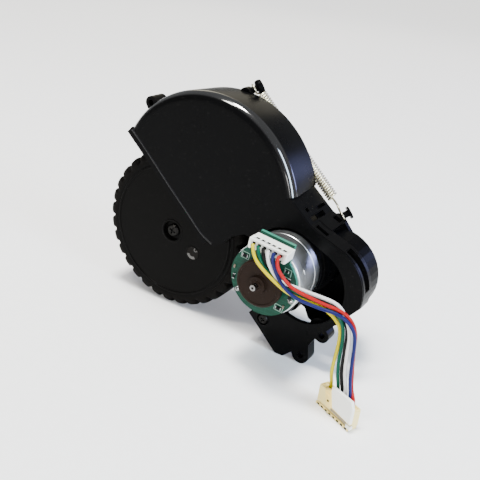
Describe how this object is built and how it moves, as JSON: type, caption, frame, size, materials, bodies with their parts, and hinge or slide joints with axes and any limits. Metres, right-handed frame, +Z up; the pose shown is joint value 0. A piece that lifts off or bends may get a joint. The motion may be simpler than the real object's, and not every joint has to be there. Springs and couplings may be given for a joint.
{
  "type": "robot vacuum drive wheel module",
  "caption": "Sprung drive wheel module of a robot vacuum: fender housing, lugged tyre, swing arm gearbox, motor with encoder board, and lead",
  "frame": {"origin": "on the floor that the module stands on, below the middle of its box without the lead", "axes": "+X from the wheel to the motor, +Y along the axle from the encoder side to the gear case, +Z up"},
  "size_m": [0.14, 0.065, 0.1019],
  "materials": {
    "black_plastic": "moulded, semi-gloss",
    "hub_plastic": "moulded, satin",
    "tyre_rubber": "matte moulded rubber",
    "gear_plastic": "moulded acetal",
    "steel": "drawn and plated",
    "bronze": "sintered",
    "copper": "enamelled winding wire",
    "magnet": "sintered ferrite",
    "encoder_magnet": "bonded ferrite",
    "board_green": "solder mask",
    "white_nylon": "moulded nylon",
    "cream_nylon": "moulded nylon",
    "wire_yellow": "extruded insulation",
    "wire_green": "extruded insulation",
    "wire_black": "extruded insulation",
    "wire_white": "extruded insulation",
    "wire_blue": "extruded insulation",
    "wire_red": "extruded insulation"
  },
  "bodies": {
    "housing": {"wheel_housing": "black_plastic", "pivot_pin": "steel", "pivot_washer": "steel", "pivot_screw_near": "steel", "pivot_screw_far": "steel", "suspension_spring": "steel", "lead_end_plug": "cream_nylon", "wire_yellow": "wire_yellow", "wire_green": "wire_green", "wire_black": "wire_black", "wire_white": "wire_white", "wire_blue": "wire_blue", "wire_red": "wire_red"},
    "swing_arm": {"case_inner": "black_plastic", "case_outer": "black_plastic", "case_screw_1": "steel", "case_screw_2": "steel", "case_screw_3": "steel", "case_screw_4": "steel", "case_screw_5": "steel", "pivot_bush": "bronze", "output_bush": "bronze", "gear_pin_1": "steel", "gear_pin_2": "steel", "gear_pin_3": "steel", "motor_can": "steel", "motor_magnet": "magnet", "motor_end_cap": "black_plastic", "motor_screw_1": "steel", "motor_screw_2": "steel", "encoder_board": "board_green", "hall_sensor": "black_plastic", "board_header": "cream_nylon", "motor_plug": "white_nylon"},
    "motor_rotor": {"motor_shaft": "steel", "motor_armature": "copper", "motor_pinion": "steel", "encoder_disc": "encoder_magnet"},
    "gear_1_body": {"gear_1": "gear_plastic"},
    "gear_2_body": {"gear_2": "gear_plastic"},
    "gear_3_body": {"gear_3": "gear_plastic"},
    "wheel": {"output_gear": "gear_plastic", "output_shaft": "steel", "wheel_hub": "hub_plastic", "tyre": "tyre_rubber", "axle_screw": "steel", "hub_dowel": "steel"}
  },
  "joints": [
    {"name": "arm_swing", "type": "hinge", "parent": "housing", "child": "swing_arm", "pos_m": [0.0231, 0.0173, 0.013], "axis": [0, 1, 0], "range_deg": [0, 20], "stiffness_Nm_per_rad": 0.7, "springref_deg": -21.2, "deforming": ["suspension_spring"]},
    {"name": "motor_spin", "type": "hinge", "parent": "swing_arm", "child": "motor_rotor", "pos_m": [0.0292, -0.0047, 0.0399], "axis": [0, 1, 0], "continuous": true},
    {"name": "gear_1_spin", "type": "hinge", "parent": "swing_arm", "child": "gear_1_body", "pos_m": [0.042, 0.0213, 0.03474], "axis": [0, 1, 0], "continuous": true},
    {"name": "gear_2_spin", "type": "hinge", "parent": "swing_arm", "child": "gear_2_body", "pos_m": [0.0252, 0.0233, 0.0348], "axis": [0, 1, 0], "continuous": true},
    {"name": "gear_3_spin", "type": "hinge", "parent": "swing_arm", "child": "gear_3_body", "pos_m": [-0.0012, 0.0233, 0.0349], "axis": [0, 1, 0], "continuous": true},
    {"name": "wheel_spin", "type": "hinge", "parent": "swing_arm", "child": "wheel", "pos_m": [-0.0272, 0.0073, 0.035], "axis": [0, 1, 0], "continuous": true}
  ],
  "couplings": [
    {"joint": "gear_1_spin", "follows": "motor_spin", "ratio": -0.27778},
    {"joint": "gear_2_spin", "follows": "motor_spin", "ratio": 0.13889},
    {"joint": "gear_3_spin", "follows": "motor_spin", "ratio": -0.037393},
    {"joint": "wheel_spin", "follows": "motor_spin", "ratio": 0.012464}
  ]
}
